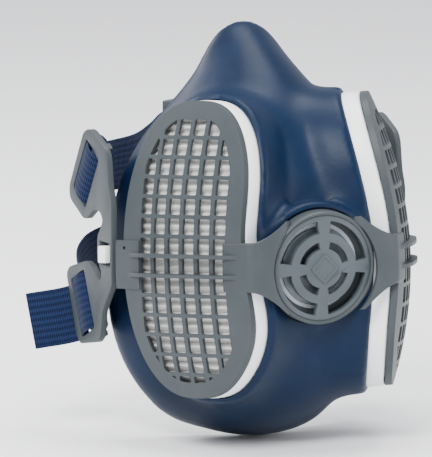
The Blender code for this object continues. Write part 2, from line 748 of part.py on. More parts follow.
# Free ends, from the tip to the slot: millimetres across the slot, along it and outward from the bar's top.
NECK_TAIL = ((27, 5, 8), (23, 3.6, 5.2), (18, 2, 2.2), (13, 0.6, 0.3), (9, 0, 0), (5, 0, 0))
HEAD_TAIL = ((9.5, 0, 0), (5, 0, 0))


def straps():
    """Head and neck straps, each in two halves that run from a wing to the middle fitting."""
    head = strap_turn(UPPER_SLOT, UPPER_SLOT_TILT, HEAD_TAIL)
    neck = strap_turn(LOWER_SLOT, LOWER_SLOT_TILT, NECK_TAIL)
    ribbon("right_head_strap", on_side(head, -1) + millimetres(RIGHT_HEAD_ROUTE))
    ribbon("left_head_strap", on_side(head, 1) + millimetres(LEFT_HEAD_ROUTE))
    ribbon("right_neck_strap", on_side(neck, -1) + millimetres(RIGHT_NECK_ROUTE))
    ribbon("left_neck_strap", on_side(neck, 1) + millimetres(LEFT_NECK_ROUTE))


def local_frame(centre, direction):
    """Frame of a strap fitting: x along the strap, z up."""
    along = Vector(direction).normalized()
    up = Vector((0, 0, 1))
    turn = Matrix((along, up.cross(along), up)).transposed().to_4x4()
    return Matrix.Translation(Vector(centre) * MM) @ turn


def fitting(name, matrix, solids, hollows):
    """A moulded strap fitting from boxes joined and boxes cut out, each a low and a high corner."""
    obj = link(name, mesh_of(box(*solids[0]), name), GRAY_PLASTIC)
    for index, (low, high) in enumerate(solids[1:]):
        boolean(obj, cutter(f"{name}_solid_{index}", box(low, high)), "UNION")
    for index, (low, high) in enumerate(hollows):
        boolean(obj, cutter(f"{name}_hollow_{index}", box(low, high)))
    freeze(obj)
    place(obj, matrix)


def fittings():
    """The slider where the head strap's halves meet, and the two halves of the neck clip."""
    slider = local_frame((14.6, 84.4, 27), (0.86, 0.56, 0))
    body = ((-0.005, -0.0026, -0.0112), (0.005, 0.0026, 0.0112))
    fitting("head_strap_slider", slider, [body], [((-0.01, -0.0013, -0.0092), (0.01, 0.0013, 0.0092))])
    clip = local_frame((14.6, 79.8, -6), (0.86, 0.51, 0))
    hook_body = ((-0.013, -0.0026, -0.0112), (-0.005, 0.0026, 0.0112))
    tongue = ((-0.0055, -0.0009, -0.0046), (0.0034, 0.0009, 0.0046))
    strap_slot = ((-0.014, -0.0013, -0.0092), (-0.006, 0.0013, 0.0092))
    fitting("right_neck_clip", clip, [hook_body, tongue], [strap_slot])
    loop_body = ((0.005, -0.0026, -0.0112), (0.013, 0.0026, 0.0112))
    socket = ((-0.0045, -0.0026, -0.0075), (0.0055, 0.0026, 0.0075))
    strap_slot = ((0.006, -0.0013, -0.0092), (0.014, 0.0013, 0.0092))
    tongue_slot = ((-0.006, -0.0013, -0.0051), (0.004, 0.0013, 0.0051))
    fitting("left_neck_clip", clip, [loop_body, socket], [strap_slot, tongue_slot])


def main():
    """Build every part."""
    facepiece()
    filter_casings()
    filter_media()
    filter_gaskets()
    filter_latches()
    filter_grilles()
    strap_wings()
    inhalation_valves()
    exhalation_valve()
    harness_ring()
    valve_cover()
    straps()
    fittings()


main()
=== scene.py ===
import math

import bmesh
import bpy
import numpy as np
from mathutils import Matrix, Vector
from mathutils.bvhtree import BVHTree


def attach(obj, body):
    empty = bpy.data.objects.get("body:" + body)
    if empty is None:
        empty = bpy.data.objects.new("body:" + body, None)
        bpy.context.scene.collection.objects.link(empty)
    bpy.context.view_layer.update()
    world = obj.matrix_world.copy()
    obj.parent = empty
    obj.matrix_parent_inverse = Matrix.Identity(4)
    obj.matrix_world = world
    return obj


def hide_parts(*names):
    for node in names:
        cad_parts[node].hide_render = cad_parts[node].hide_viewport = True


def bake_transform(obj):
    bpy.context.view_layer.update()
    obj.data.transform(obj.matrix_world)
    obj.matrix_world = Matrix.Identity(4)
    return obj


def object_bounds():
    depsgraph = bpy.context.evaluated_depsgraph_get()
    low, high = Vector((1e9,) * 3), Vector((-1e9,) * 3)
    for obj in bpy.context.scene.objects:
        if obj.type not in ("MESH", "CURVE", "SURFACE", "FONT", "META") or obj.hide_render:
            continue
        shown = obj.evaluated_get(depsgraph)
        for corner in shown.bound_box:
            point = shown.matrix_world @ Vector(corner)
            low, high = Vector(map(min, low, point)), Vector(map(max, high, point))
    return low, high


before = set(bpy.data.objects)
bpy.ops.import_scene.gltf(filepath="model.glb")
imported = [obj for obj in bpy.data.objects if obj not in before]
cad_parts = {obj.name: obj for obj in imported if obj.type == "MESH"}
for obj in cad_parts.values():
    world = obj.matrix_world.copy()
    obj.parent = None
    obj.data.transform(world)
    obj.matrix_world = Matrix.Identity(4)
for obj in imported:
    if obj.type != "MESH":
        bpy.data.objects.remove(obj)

CAD_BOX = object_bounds()
MM = 0.001

# The frames, the outlines and the levels are those of the CAD model. The grille bars are thinner than there,
# the valve cover and the strap slots are larger, and the straps are wider where they fill the slots.
FILTER_CENTRE = Vector((0.0418, -0.0410, 0.0057))
FILTER_TURN = math.radians(61)
FILTER_LEAN = math.radians(5.3)
FILTER_RAKE = math.radians(3.5)
BOW_RADIUS = 0.126
CROWN_RADIUS = 0.120
HALF_WIDTH = 0.0250
HALF_HEIGHT = 0.049
SQUARENESS = 2.5
WAIST = 0.0022
LOBE = 0.0030
GRILLE_THICKNESS = 0.0024
COLUMN_PITCH = 0.00596
ROW_PITCH = 0.0065
COLUMN_BAR = 0.0015
ROW_BAR = 0.0013
GRILLE_RIM = 0.0052
ARM_LEVEL = -0.0053
ARM_HALF = 0.0080
ARM_START = -0.0165
ARM_LENGTH = 0.0168
PINHOLE = (0.0243, ARM_LEVEL + 0.0055)
CASING_TOP = -0.0028
CASING_BOTTOM = -0.0110
CASING_WALL = 0.0015
CASING_FLOOR = 0.0012
PLEAT_PITCH = 0.0033
PLEAT_DEPTH = 0.0018
VALVE_CENTRE = Vector((0.0, -0.0620, 0.0))
VALVE_PITCH = math.radians(3)
COVER_RADIUS = 0.0174
RING_INNER = 0.0175
RING_OUTER = 0.0189
WING_FOLD = Vector((0.0530, -0.0134, 0.0))
WING_DIRECTION = Vector((0.0, 1.0, 0.0))
SLOT_LENGTH = 0.0205
SLOT_WIDTH = 0.0116
BAR_RADIUS = 0.0011
BAR_DEPTH = 0.0040
BAR_OFFSET = -0.0010
STRAP_WIDTH = 0.0194
STRAP_NARROWING = 0.0022
STRAP_THICKNESS = 0.0012
RIBS = 9
PICK_PITCH = 0.00075
EDGE_HALF = 0.00012
WALL = 0.0022
SHELL_VOXEL = 0.0011
FILLET_SKIN = 0.0012
FILLET_REACH = 0.040


# Frames and mesh helpers ------------------------------------------------------------------------------


def turned(a, b, angle):
    """Two perpendicular directions after a turn from the first towards the second."""
    c, s = math.cos(angle), math.sin(angle)
    return a * c + b * s, b * c - a * s


def filter_matrix():
    u = Vector((math.cos(FILTER_TURN), math.sin(FILTER_TURN), 0))
    n = Vector((math.sin(FILTER_TURN), -math.cos(FILTER_TURN), 0))
    v = Vector((0, 0, 1))
    v, n = turned(v, n, -FILTER_LEAN)
    v, u = turned(v, u, FILTER_RAKE)
    return Matrix.Translation(FILTER_CENTRE) @ Matrix((u, v, n)).transposed().to_4x4()


def valve_matrix():
    out = Vector((0, -math.cos(VALVE_PITCH), -math.sin(VALVE_PITCH)))
    side = Vector((1, 0, 0))
    return Matrix.Translation(VALVE_CENTRE) @ Matrix((side, out.cross(side), out)).transposed().to_4x4()


def wing_matrix():
    up = Vector((0, 0, 1))
    out = WING_DIRECTION.cross(up)
    return Matrix.Translation(WING_FOLD) @ Matrix((WING_DIRECTION, up, out)).transposed().to_4x4()


FILTER, VALVE, WING = filter_matrix(), valve_matrix(), wing_matrix()
MIRROR = Matrix.Diagonal((-1, 1, 1, 1))


def to_object(name, bm):
    """A linked object of this bmesh, with its faces pointing out."""
    bmesh.ops.recalc_face_normals(bm, faces=bm.faces)
    mesh = bpy.data.meshes.new(name)
    bm.to_mesh(mesh)
    bm.free()
    obj = bpy.data.objects.new(name, mesh)
    bpy.context.scene.collection.objects.link(obj)
    return obj


def prism(outline, low, high, bm=None):
    """An outline extruded from one level to another."""
    bm = bm or bmesh.new()
    base = bm.faces.new([bm.verts.new((x, y, low)) for x, y in outline])
    grown = bmesh.ops.extrude_face_region(bm, geom=[base])["geom"]
    top = [item for item in grown if isinstance(item, bmesh.types.BMVert)]
    bmesh.ops.translate(bm, verts=top, vec=(0, 0, high - low))
    return bm


def loft(sections, loop=False):
    """A solid through rings of points of equal count: closed at both ends, or joined up if it loops."""
    bm = bmesh.new()
    rings = [[bm.verts.new(point) for point in section] for section in sections]
    pairs = list(zip(rings, rings[1:])) + ([(rings[-1], rings[0])] if loop else [])
    for lower, upper in pairs:
        for i in range(len(lower)):
            j = (i + 1) % len(lower)
            bm.faces.new((lower[i], lower[j], upper[j], upper[i]))
    if not loop:
        bm.faces.new(rings[0][::-1])
        bm.faces.new(rings[-1])
    return bm


def box(low, high):
    bm = bmesh.new()
    size = [b - a for a, b in zip(low, high)]
    centre = [(a + b) / 2 for a, b in zip(low, high)]
    bmesh.ops.create_cube(bm, size=1, matrix=Matrix.Translation(centre) @ Matrix.Diagonal((*size, 1)))
    return bm


def circle(radius, count=96):
    turns = [2 * math.pi * k / count for k in range(count)]
    return [(radius * math.cos(t), radius * math.sin(t)) for t in turns]


def apply_modifiers(obj):
    graph = bpy.context.evaluated_depsgraph_get()
    graph.update()
    mesh = bpy.data.meshes.new_from_object(obj.evaluated_get(graph))
    obj.modifiers.clear()
    obj.data = mesh
    return obj


def boolean(obj, tool, operation="DIFFERENCE"):
    """Cut or join with a tool that is then removed."""
    modifier = obj.modifiers.new("cut", "BOOLEAN")
    modifier.operation = operation
    modifier.solver = "EXACT"
    modifier.object = tool
    apply_modifiers(obj)
    bpy.data.objects.remove(tool, do_unlink=True)
    return obj


def sliced(bm, normal, levels):
    """Cut faces along parallel planes, so that they can bend."""
    for level in levels:
        geom = bm.verts[:] + bm.edges[:] + bm.faces[:]
        bmesh.ops.bisect_plane(bm, geom=geom, dist=1e-6, plane_co=Vector(normal) * level, plane_no=normal)
    return bm


def bow(points):
    """Bow the filter's points, an array of u, v, w, along its height and across its width."""
    points[:, 2] -= points[:, 1] ** 2 / (2 * BOW_RADIUS) + points[:, 0] ** 2 / (2 * CROWN_RADIUS)
    return points


def coordinates(mesh):
    co = np.zeros(len(mesh.vertices) * 3)
    mesh.vertices.foreach_get("co", co)
    return co.reshape(-1, 3)


def set_coordinates(mesh, co):
    mesh.vertices.foreach_set("co", co.ravel())
    mesh.update()


def place(obj, matrix, bowed=False):
    if bowed:
        set_coordinates(obj.data, bow(coordinates(obj.data)))
    obj.data.transform(matrix)
    obj.data.update()
    return obj


def mirrored(obj):
    obj.data.transform(MIRROR)
    obj.data.flip_normals()
    return obj


def bevel(obj, width, segments=2, angle=35):
    """Round the edges sharper than this angle."""
    modifier = obj.modifiers.new("bevel", "BEVEL")
    modifier.width = width
    modifier.segments = segments
    modifier.limit_method = "ANGLE"
    modifier.angle_limit = math.radians(angle)
    return apply_modifiers(obj)


def shade(obj, surface, angle=35):
    obj.data.materials.clear()
    obj.data.materials.append(surface)
    obj.data.shade_smooth()
    obj.data.set_sharp_from_angle(angle=math.radians(angle))
    return obj


def clean(obj):
    """Merge doubled points and flat triangles."""
    bm = bmesh.new()
    bm.from_mesh(obj.data)
    bmesh.ops.remove_doubles(bm, verts=bm.verts, dist=2e-6)
    bmesh.ops.dissolve_limit(bm, angle_limit=math.radians(1.0), verts=bm.verts, edges=bm.edges)
    bm.to_mesh(obj.data)
    bm.free()
    return obj


def ride(obj, body, surface, nodes, angle=35):
    """Finish a piece: material, body and the CAD nodes it stands for."""
    shade(obj, surface, angle)
    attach(obj, body)
    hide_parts(*nodes)
    return obj


def both_sides(obj, piece, body, surface, node, angle=35):
    """Ride a left piece and its mirror image on the two sides' bodies."""
    mesh = obj.data.copy()
    mesh.transform(MIRROR)
    mesh.flip_normals()
    other = bpy.data.objects.new(f"right_{piece}", mesh)
    bpy.context.scene.collection.objects.link(other)
    obj.name = f"left_{piece}"
    for side, each in (("left", obj), ("right", other)):
        ride(each, body.format(side), surface, [f"{side}_{node}"], angle)


# Materials --------------------------------------------------------------------------------------------


class Look:
    """A Principled material under construction."""

    def __init__(self, name, roughness, **inputs):
        self.material = bpy.data.materials.new(name)
        self.material.use_nodes = True
        self.tree = self.material.node_tree
        self.shader = self.tree.nodes["Principled BSDF"]
        self.shader.inputs["Roughness"].default_value = roughness
        for key, value in inputs.items():
            self.shader.inputs[key.replace("_", " ")].default_value = value

    def node(self, kind, **settings):
        made = self.tree.nodes.new(f"ShaderNode{kind}")
        for key, value in settings.items():
            setattr(made, key, value)
        return made

    def join(self, source, target):
        self.tree.links.new(source, target)

    def coords(self):
        """The piece's own coordinates, in metres."""
        return self.node("TexCoord").outputs["Object"]

    def noise(self, scale, detail, rough, stretch=None):
        made = self.node("TexNoise")
        made.inputs["Scale"].default_value = scale
        made.inputs["Detail"].default_value = detail
        made.inputs["Roughness"].default_value = rough
        source = self.coords()
        if stretch:
            mapping = self.node("Mapping")
            mapping.inputs["Scale"].default_value = stretch
            self.join(source, mapping.inputs["Vector"])
            source = mapping.outputs["Vector"]
        self.join(source, made.inputs["Vector"])
        return made.outputs["Fac"]

    def ramp(self, value, stops):
        made = self.node("ValToRGB")
        ramp = made.color_ramp
        while len(ramp.elements) < len(stops):
            ramp.elements.new(0.5)
        for element, (place_at, colour) in zip(ramp.elements, stops):
            element.position = place_at
            element.color = (*colour, 1.0)
        self.join(value, made.inputs["Fac"])
        return made.outputs["Color"]

    def math(self, operation, a, b=None):
        made = self.node("Math", operation=operation)
        for index, value in enumerate((a, b)):
            if value is None:
                continue
            if isinstance(value, (int, float)):
                made.inputs[index].default_value = value
            else:
                self.join(value, made.inputs[index])
        return made.outputs["Value"]

    def mix(self, factor, a, b):
        made = self.node("Mix", data_type="RGBA")
        for key, value in ((0, factor), (6, a), (7, b)):
            if isinstance(value, (int, float)):
                made.inputs[key].default_value = value
            elif isinstance(value, tuple):
                made.inputs[key].default_value = (*value, 1.0)
            else:
                self.join(value, made.inputs[key])
        return made.outputs[2]

    def bump(self, height, distance, strength=1.0, normal=None):
        made = self.node("Bump")
        made.inputs["Distance"].default_value = distance
        made.inputs["Strength"].default_value = strength
        self.join(height, made.inputs["Height"])
        if normal:
            self.join(normal, made.inputs["Normal"])
        return made.outputs["Normal"]

    def finish(self, colour, normal=None, roughness=None):
        self.join(colour, self.shader.inputs["Base Color"])
        if normal:
            self.join(normal, self.shader.inputs["Normal"])
        if roughness:
            self.join(roughness, self.shader.inputs["Roughness"])
        return self.material


def level(look, value, low, high):
    """A value from 0 to 1 taken to a range."""
    made = look.node("MapRange")
    made.inputs["To Min"].default_value = low
    made.inputs["To Max"].default_value = high
    look.join(value, made.inputs["Value"])
    return made.outputs["Result"]


def rubber_look():
    look = Look("navy_rubber", 0.40, Specular_IOR_Level=0.13)
    broad = look.noise(38, 3, 0.5)
    fine = look.noise(900, 4, 0.6)
    bloom = look.noise(140, 6, 0.65)
    colour = look.ramp(broad, [(0.30, (0.0010, 0.0072, 0.0240)), (0.72, (0.0018, 0.0110, 0.0340))])
    dust = look.ramp(bloom, [(0.52, (0, 0, 0)), (0.80, (0.30, 0.30, 0.30))])
    colour = look.mix(dust, colour, (0.005, 0.020, 0.052))
    normal = look.bump(fine, 0.00012, 0.35)
    normal = look.bump(look.noise(120, 2, 0.4), 0.0005, 0.25, normal)
    return look.finish(colour, normal, level(look, bloom, 0.33, 0.50))


def gray_look(name, dark, light, roughness):
    look = Look(name, roughness, Specular_IOR_Level=0.25)
    broad = look.noise(60, 3, 0.5)
    grain = look.noise(2600, 3, 0.6)
    scuff = look.noise(420, 8, 0.75, stretch=(1.0, 1.0, 0.25))
    colour = look.ramp(broad, [(0.30, dark), (0.75, light)])
    marks = look.ramp(scuff, [(0.60, (0, 0, 0)), (0.74, (0.35, 0.35, 0.35))])
    colour = look.mix(marks, colour, tuple(min(1.0, 1.5 * c) for c in light))
    edge = look.node("Bevel", samples=4)
    edge.inputs["Radius"].default_value = 0.00035
    normal = look.bump(grain, 0.00010, 0.35, edge.outputs["Normal"])
    return look.finish(colour, normal, level(look, scuff, roughness - 0.07, roughness + 0.10))


def white_look():
    look = Look("white_plastic", 0.36, Specular_IOR_Level=0.5)
    look.shader.inputs["Subsurface Weight"].default_value = 0.08
    look.shader.inputs["Subsurface Radius"].default_value = (0.002, 0.002, 0.0018)
    broad = look.noise(70, 4, 0.55)
    colour = look.ramp(broad, [(0.30, (0.760, 0.775, 0.790)), (0.70, (0.860, 0.865, 0.870))])
    normal = look.bump(look.noise(1500, 3, 0.6), 0.00008, 0.3)
    return look.finish(colour, normal, level(look, broad, 0.30, 0.44))


def media_look():
    look = Look("pleated_media", 0.92, Specular_IOR_Level=0.2)
    fold = look.node("Attribute", attribute_name="fold").outputs["Fac"]
    fibre = look.noise(1300, 6, 0.75)
    blotch = look.noise(260, 4, 0.6)
    # Painted shade and painted highlight: the sheet's one colour is drawn darker in the pleat valleys and
    # lighter on the crests, following the fold height.
    painted_valley_shade, painted_slope_shade, top = (0.300, 0.300, 0.295), (0.560, 0.555, 0.540), (0.800, 0.795, 0.780)
    crest = look.ramp(fold, [(0.0, painted_valley_shade), (0.55, painted_slope_shade), (1.0, top)])
    patches = look.ramp(blotch, [(0.35, (0, 0, 0)), (0.70, (0.28, 0.28, 0.28))])
    colour = look.mix(patches, crest, (0.86, 0.85, 0.83))
    fibres = look.ramp(fibre, [(0.45, (0, 0, 0)), (0.75, (0.35, 0.35, 0.35))])
    colour = look.mix(fibres, colour, (0.45, 0.44, 0.42))
    normal = look.bump(fibre, 0.00035, 0.7)
    return look.finish(colour, normal)


def strap_look():
    """Woven elastic: lengthwise ribs with fine diagonal picks between them, with painted shade in the grooves
    and a painted highlight on the raised threads.
    """
    look = Look("strap_webbing", 0.80, Specular_IOR_Level=0.06, Sheen_Weight=0.05, Sheen_Roughness=0.30)
    cloth = look.node("Attribute", attribute_name="cloth").outputs["Vector"]
    split = look.node("SeparateXYZ")
    look.join(cloth, split.inputs["Vector"])
    across, along = split.outputs["X"], split.outputs["Y"]
    rib = look.math("COSINE", look.math("MULTIPLY", across, 2 * math.pi * RIBS))
    slant = look.math("MULTIPLY", look.math("ABSOLUTE", rib), 2.2)
    phase = look.math("MULTIPLY", along, 2 * math.pi / PICK_PITCH)
    pick = look.math("SINE", look.math("ADD", phase, slant))
    weave = look.math("MULTIPLY", look.math("ADD", pick, 1.0), 0.5)
    body = look.math("MULTIPLY", look.math("ADD", rib, 1.0), 0.5)
    height = look.math("ADD", look.math("MULTIPLY", weave, 0.60), look.math("MULTIPLY", body, 0.40))
    fuzz = look.noise(2400, 5, 0.7)
    # Painted shade and painted highlight: the webbing's one colour is drawn darker in the weave's grooves and
    # lighter on its raised threads, following the relief height.
    low, middle, high = (0.0022, 0.0042, 0.0150), (0.0070, 0.0130, 0.0400), (0.0150, 0.0260, 0.0700)
    colour = look.ramp(height, [(0.08, low), (0.50, middle), (1.0, high)])
    hairs = look.ramp(fuzz, [(0.50, (0, 0, 0)), (0.80, (0.35, 0.35, 0.35))])
    colour = look.mix(hairs, colour, (0.020, 0.038, 0.105))
    normal = look.bump(height, 0.00030, 0.8)
    normal = look.bump(fuzz, 0.00010, 0.4, normal)
    return look.finish(colour, normal)


def soft_look(name, dark, light, roughness, scale=300):
    look = Look(name, roughness, Specular_IOR_Level=0.45)
    spots = look.noise(scale, 5, 0.6)
    colour = look.ramp(spots, [(0.35, dark), (0.70, light)])
    normal = look.bump(look.noise(scale * 6, 3, 0.6), 0.00012, 0.4)
    return look.finish(colour, normal, level(look, spots, roughness - 0.06, roughness + 0.08))


NAVY = rubber_look()
GRAY = gray_look("gray_frame", (0.030, 0.038, 0.042), (0.040, 0.048, 0.053), 0.46)
COVER_GRAY = gray_look("cover_gray", (0.042, 0.053, 0.060), (0.056, 0.069, 0.078), 0.44)
WHITE = white_look()
MEDIA = media_look()
STRAP = strap_look()
SEAT = soft_look("valve_seat", (0.34, 0.39, 0.43), (0.42, 0.47, 0.52), 0.45)
FLAP = soft_look("valve_flap", (0.060, 0.075, 0.090), (0.090, 0.110, 0.130), 0.35)
GASKET = soft_look("gasket_rubber", (0.018, 0.018, 0.021), (0.034, 0.034, 0.038), 0.65, 700)


# Filters ----------------------------------------------------------------------------------------------


def filter_outline(grow=0.0, count=120):
    """The filter's long rounded outline, with a waist and a lobe on the side of the valve."""
    points = []
    for step in range(count):
        turn = 2 * math.pi * step / count
        across, along = math.cos(turn), math.sin(turn)
        u = (HALF_WIDTH + grow) * math.copysign(abs(across) ** (2 / SQUARENESS), across)
        v = (HALF_HEIGHT + grow) * math.copysign(abs(along) ** (2 / SQUARENESS), along)
        if u < 0:
            share = -u / HALF_WIDTH
            waist = WAIST * math.exp(-(((v - 0.004) / 0.018) ** 2))
            lobe = LOBE * math.exp(-(((v + 0.030) / 0.016) ** 2))
            u += share * (waist - lobe)
        points.append((u, v))
    return points


def ring_sweep(name, profile):
    """A closed ring that follows the filter's outline, its section given as growth and level."""
    sections = [[(u, v, w) for u, v in filter_outline(grow)] for grow, w in profile]
    return to_object(name, loft(sections, loop=True))


def casings():
    top, bottom, floor = CASING_TOP, CASING_BOTTOM, CASING_BOTTOM + CASING_FLOOR
    profile = [
        (-0.0055, bottom), (-0.0010, bottom), (-0.0003, bottom + 0.0002), (0.0, bottom + 0.0008),
        (0.0, bottom + 0.0030), (0.0001, bottom + 0.0045), (0.0, top - 0.0008), (-0.0002, top - 0.0003),
        (-0.0006, top), (-0.0010, top), (-0.0014, top - 0.0003), (-0.0015, top - 0.0008),
        (-0.0015, floor + 0.0004), (-0.0019, floor), (-0.0055, floor),
    ]
    casing = place(ring_sweep("casing", profile), FILTER, bowed=True)
    both_sides(casing, "filter_tray", "mask", WHITE, "filter_casing", 50)


def span_at(outline, v):
    """The lowest and highest u of an outline at a level."""
    found = []
    for (u0, v0), (u1, v1) in zip(outline, outline[1:] + outline[:1]):
        if (v0 - v) * (v1 - v) <= 0 and v0 != v1:
            found.append(u0 + (u1 - u0) * (v - v0) / (v1 - v0))
    return min(found), max(found)


def media():
    """The pleated pack: sharp crests across the filter, slightly uneven, in a pinked sheet."""
    outline = filter_outline(-CASING_WALL - 0.0004)
    limit = HALF_HEIGHT - CASING_WALL - 0.0006
    count = int(2 * limit / (PLEAT_PITCH / 8))
    columns = 28
    rng = np.random.default_rng(5)
    drift = rng.normal(0, 0.00012, (count // 8 + 3, 4))
    points, folds, faces = [], [], []
    for row in range(count + 1):
        v = -limit + 2 * limit * row / count
        low, high = span_at(outline, v)
        phase = (v + limit) / PLEAT_PITCH
        pleat = int(phase)
        crest = 1 - abs(2 * (phase - pleat) - 1)
        rise = crest ** 0.85
        for column in range(columns + 1):
            t = column / columns
            wave = sum(drift[pleat][k] * math.sin((k + 1) * 3.1 * t + pleat * 1.7 * k) for k in range(4))
            u = low + (high - low) * t
            w = CASING_TOP - 0.0002 - PLEAT_DEPTH * (1 - rise) + wave * 0.9
            points.append((u, v + wave * 1.2 * rise, w))
            folds.append(rise)
    for row in range(count):
        for column in range(columns):
            a = row * (columns + 1) + column
            faces.append((a, a + 1, a + columns + 2, a + columns + 1))
    co = bow(np.array(points))
    mesh = bpy.data.meshes.new("media")
    mesh.from_pydata(co.tolist(), [], faces)
    # The fold height also drives the painted shade in the pleat valleys and the painted highlight on the
    # crests.
    fold = mesh.attributes.new("fold", "FLOAT", "POINT")
    fold.data.foreach_set("value", np.array(folds, np.float32))
    obj = bpy.data.objects.new("media", mesh)
    bpy.context.scene.collection.objects.link(obj)
    solid = obj.modifiers.new("sheet", "SOLIDIFY")
    solid.thickness = 0.0005
    solid.offset = -1
    apply_modifiers(obj)
    place(obj, FILTER)
    both_sides(obj, "pleated_pack", "mask", MEDIA, "filter_media", 28)


def rounded_cell(u, v, half_u, half_v, radius, steps=3):
    """A rectangle with rounded corners."""
    points = []
    for sx, sy, start in ((1, 1, 0), (-1, 1, 90), (-1, -1, 180), (1, -1, 270)):
        for k in range(steps + 1):
            turn = math.radians(start + 90 * k / steps)
            corner_u, corner_v = u + sx * (half_u - radius), v + sy * (half_v - radius)
            points.append((corner_u + radius * math.cos(turn), corner_v + radius * math.sin(turn)))
    return points


def grilles():
    grille = to_object("grille", prism(filter_outline(), -GRILLE_THICKNESS, 0))
    cells = bmesh.new()
    half_u, half_v = (COLUMN_PITCH - COLUMN_BAR) / 2, (ROW_PITCH - ROW_BAR) / 2
    for column in range(6):
        for row in range(-7, 8):
            centre = (COLUMN_PITCH * (column - 2.5), ARM_LEVEL + ROW_PITCH * row)
            prism(rounded_cell(*centre, half_u, half_v, 0.0005), -0.01, 0.01, cells)
    openings = to_object("openings", cells)
    field = to_object("field", prism(filter_outline(-GRILLE_RIM), -0.008, 0.008))
    boolean(openings, field, "INTERSECT")
    boolean(grille, openings)
    boolean(grille, to_object("relief", prism(filter_outline(-GRILLE_RIM + 0.0004), -0.004, -0.0012)))
    boolean(grille, to_object("arm", arm()), "UNION")
    for side in (-1, 1):
        boolean(grille, to_object("fin", fin(ARM_LEVEL + side * ROW_PITCH / 2)), "UNION")
    low, high = ARM_LEVEL - ARM_HALF, ARM_LEVEL + ARM_HALF
    boolean(grille, to_object("plate", box((0.0175, low, -0.0016), (0.0285, high, 0.0005))), "UNION")
    turns = [k * math.pi / 6 for k in range(12)]
    pinhole = [(PINHOLE[0] + 0.0006 * math.cos(t), PINHOLE[1] + 0.0006 * math.sin(t)) for t in turns]
    boolean(grille, to_object("pin", prism(pinhole, -0.01, 0.01)))
    bm = bmesh.new()
    bm.from_mesh(grille.data)
    sliced(bm, (0, 1, 0), [ARM_LEVEL + ROW_PITCH * (k / 3 - 8) for k in range(52)])
    sliced(bm, (1, 0, 0), [COLUMN_PITCH * (k - 5) for k in range(11)])
    bmesh.ops.remove_doubles(bm, verts=bm.verts, dist=2e-6)
    bm.to_mesh(grille.data)
    bm.free()
    place(grille, FILTER, bowed=True)
    clearance = place(to_object("clearance", prism(circle(RING_OUTER - 0.0001), -0.02, 0.01)), VALVE)
    boolean(grille, clearance)
    both_sides(grille, "cover_grille", "{}_cover", GRAY, "filter_grille", 40)


def arm():
    """The flexible arm, which widens in a smooth curve where it meets the ring."""
    edge, steps = 0.0005, 14
    sections = []
    for k in range(steps + 1):
        t = k / steps
        u = ARM_START - ARM_LENGTH * t
        bend = max(0.0, (t - 0.55) / 0.45)
        top = 0.0004 - 0.0080 * bend ** 1.5
        depth = 0.0020 + 0.0010 * bend
        half = ARM_HALF + 0.0002 * t + 0.0072 * bend ** 2.2
        low, high = ARM_LEVEL - half, ARM_LEVEL + half
        sections.append([
            (u, low, top - depth), (u, high, top - depth), (u, high, top - edge), (u, high - edge, top),
            (u, low + edge, top), (u, low, top - edge),
        ])
    return loft(sections)


def fin(at):
    """A low wall across the grille that runs out into the plates at both ends."""
    profile = [
        (-0.0215, -0.0010), (0.0225, -0.0010), (0.0225, 0.0004), (0.0195, 0.0013), (0.0160, 0.0021),
        (0.0120, 0.0023), (-0.0140, 0.0023), (-0.0175, 0.0018), (-0.0215, 0.0004),
    ]
    half, taper = 0.00075, 0.8
    sections = []
    for side in (-1, 1):
        sections.append([(u, at + side * half * (1 if w < 0.001 else taper), w) for u, w in profile])
    return loft(sections)


casings()
media()
grilles()


# Facepiece --------------------------------------------------------------------------------------------

FACE_CAGE = (
    ((0, 1, 77.5), (4, 1, 76.8), (7.5, 1, 75), (10.5, 1, 72.5), (13, 0.5, 69), (14.8, 0.5, 65.5)),
    ((0, -12, 69.5), (5.5, -10, 68.5), (10, -6.5, 66.5), (13.5, -3, 64), (16.5, -1, 61.5), (18.8, 0.5, 58)),
    ((0, -27, 59), (7, -26, 58), (14.5, -22, 55.5), (21.5, -12, 53.5), (25, -4, 52), (26.8, 2.5, 49.8)),
    ((0, -40, 44), (8, -39, 43), (17.5, -36, 41), (32.6, -9.7, 40), (35.5, -1, 40), (35.5, 6, 39)),
    ((0, -48.5, 24), (10, -47.5, 24), (17.5, -46.2, 24), (38.5, -9.2, 25), (41.5, 0.5, 26), (42, 8, 27)),
    ((0, -54, 10), (12, -53.5, 10), (18, -51, 9), (41, -9.2, 10), (45, 1.5, 11), (46, 9.5, 12)),
    ((0, -54.8, -9), (12, -54.3, -9), (18.5, -52, -9), (41.6, -9.7, -8), (46, 1, -7), (47.5, 9.5, -6)),
    ((0, -53.8, -27), (12, -53, -27), (18, -50, -27), (40, -9.7, -26), (46, 0, -24), (47, 9.5, -22)),
    ((0, -48, -43), (10, -46.5, -43), (17.5, -42.5, -43), (35, -11.7, -42), (42, -1.5, -40), (43, 7, -38)),
    ((0, -36, -56), (9, -35, -55.5), (18, -30, -54), (28, -12, -52), (34.5, -2.5, -51), (36, 3.5, -49.5)),
    ((0, -18, -62.5), (8, -17.5, -62), (15, -15, -61), (21, -9, -59.5), (26, -3, -58.5), (28.5, 1.5, -57)),
    ((0, -4, -64), (5, -4, -63.5), (10, -3, -62.5), (14, -2, -61), (17.5, -1, -60), (20.5, -0.5, -58.5)),
)


